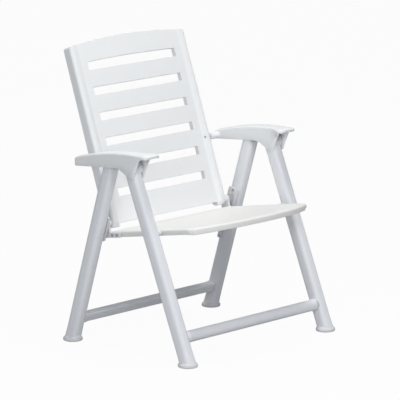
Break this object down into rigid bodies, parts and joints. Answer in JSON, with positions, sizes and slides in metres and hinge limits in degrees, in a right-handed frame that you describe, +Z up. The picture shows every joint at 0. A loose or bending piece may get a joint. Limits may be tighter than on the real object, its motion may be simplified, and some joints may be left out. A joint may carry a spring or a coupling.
{
  "type": "folding reclining garden armchair",
  "caption": "White moulded resin garden armchair with a slatted high back, channel armrests and A-shaped leg frames; it reclines in notches and folds.",
  "frame": {"origin": "on the ground, below the middle of the whole chair's bounding box", "axes": "+Z up; the sitter looks along -Y; +X is the sitter's left; X is the hinge axis of every joint"},
  "size_m": [0.68, 0.6069, 0.9072],
  "materials": {
    "back_resin": "satin",
    "seat_resin": "satin",
    "arm_resin": "satin",
    "leg_resin": "satin",
    "foot_resin": "matt",
    "hinge_resin": "satin",
    "rack_resin": "satin",
    "pin_steel": "brushed"
  },
  "bodies": {
    "seat": {"seat_panel": "seat_resin", "hinge_bracket_left": "hinge_resin", "hinge_bracket_right": "hinge_resin", "front_spacer_left": "hinge_resin", "front_spacer_right": "hinge_resin", "front_seat_pin_left": "pin_steel", "front_seat_pin_right": "pin_steel", "rack_pin_left": "rack_resin", "rack_pin_right": "rack_resin", "seat_back_pin_left": "pin_steel", "seat_back_pin_right": "pin_steel", "bracket_screws_left": "pin_steel", "bracket_screws_right": "pin_steel"},
    "back": {"backrest": "back_resin", "arm_back_pin_left": "pin_steel", "arm_back_pin_right": "pin_steel"},
    "armrest_left": {"armrest_left": "arm_resin", "front_arm_pin_left": "pin_steel", "rear_arm_pin_left": "pin_steel"},
    "armrest_right": {"armrest_right": "arm_resin", "front_arm_pin_right": "pin_steel", "rear_arm_pin_right": "pin_steel"},
    "front_frame": {"front_leg_left": "leg_resin", "front_leg_right": "leg_resin", "front_crossbar": "leg_resin", "front_foot_left": "foot_resin", "front_foot_right": "foot_resin"},
    "rear_frame": {"rear_leg_left": "leg_resin", "rear_leg_right": "leg_resin", "rear_crossbar": "leg_resin", "rear_foot_left": "foot_resin", "rear_foot_right": "foot_resin", "rack_left": "rack_resin", "rack_right": "rack_resin", "rack_screws_left": "pin_steel", "rack_screws_right": "pin_steel"}
  },
  "joints": [
    {"name": "back_fold", "type": "hinge", "parent": "seat", "child": "back", "pos_m": [0, 0.1075, 0.371], "axis": [1, 0, 0], "range_deg": [-20, 75]},
    {"name": "arm_left_pivot", "type": "hinge", "parent": "back", "child": "armrest_left", "pos_m": [0.268, 0.163, 0.5655], "axis": [1, 0, 0], "range_deg": [-76, 21]},
    {"name": "arm_right_pivot", "type": "hinge", "parent": "back", "child": "armrest_right", "pos_m": [-0.268, 0.163, 0.5655], "axis": [1, 0, 0], "range_deg": [-76, 21]},
    {"name": "front_legs_pivot", "type": "hinge", "parent": "seat", "child": "front_frame", "pos_m": [0, -0.11149, 0.374], "axis": [1, 0, 0], "range_deg": [-21, 76]},
    {"name": "rear_legs_pivot", "type": "hinge", "parent": "armrest_left", "child": "rear_frame", "pos_m": [0.31, 0.04536, 0.571], "axis": [1, 0, 0], "range_deg": [-15, 53.5]}
  ],
  "couplings": [
    {"joint": "arm_left_pivot", "follows": "back_fold", "ratio": -1},
    {"joint": "arm_right_pivot", "follows": "back_fold", "ratio": -1},
    {"joint": "front_legs_pivot", "follows": "back_fold", "ratio": 1},
    {"joint": "rear_legs_pivot", "follows": "back_fold", "ratio": 0.7}
  ]
}
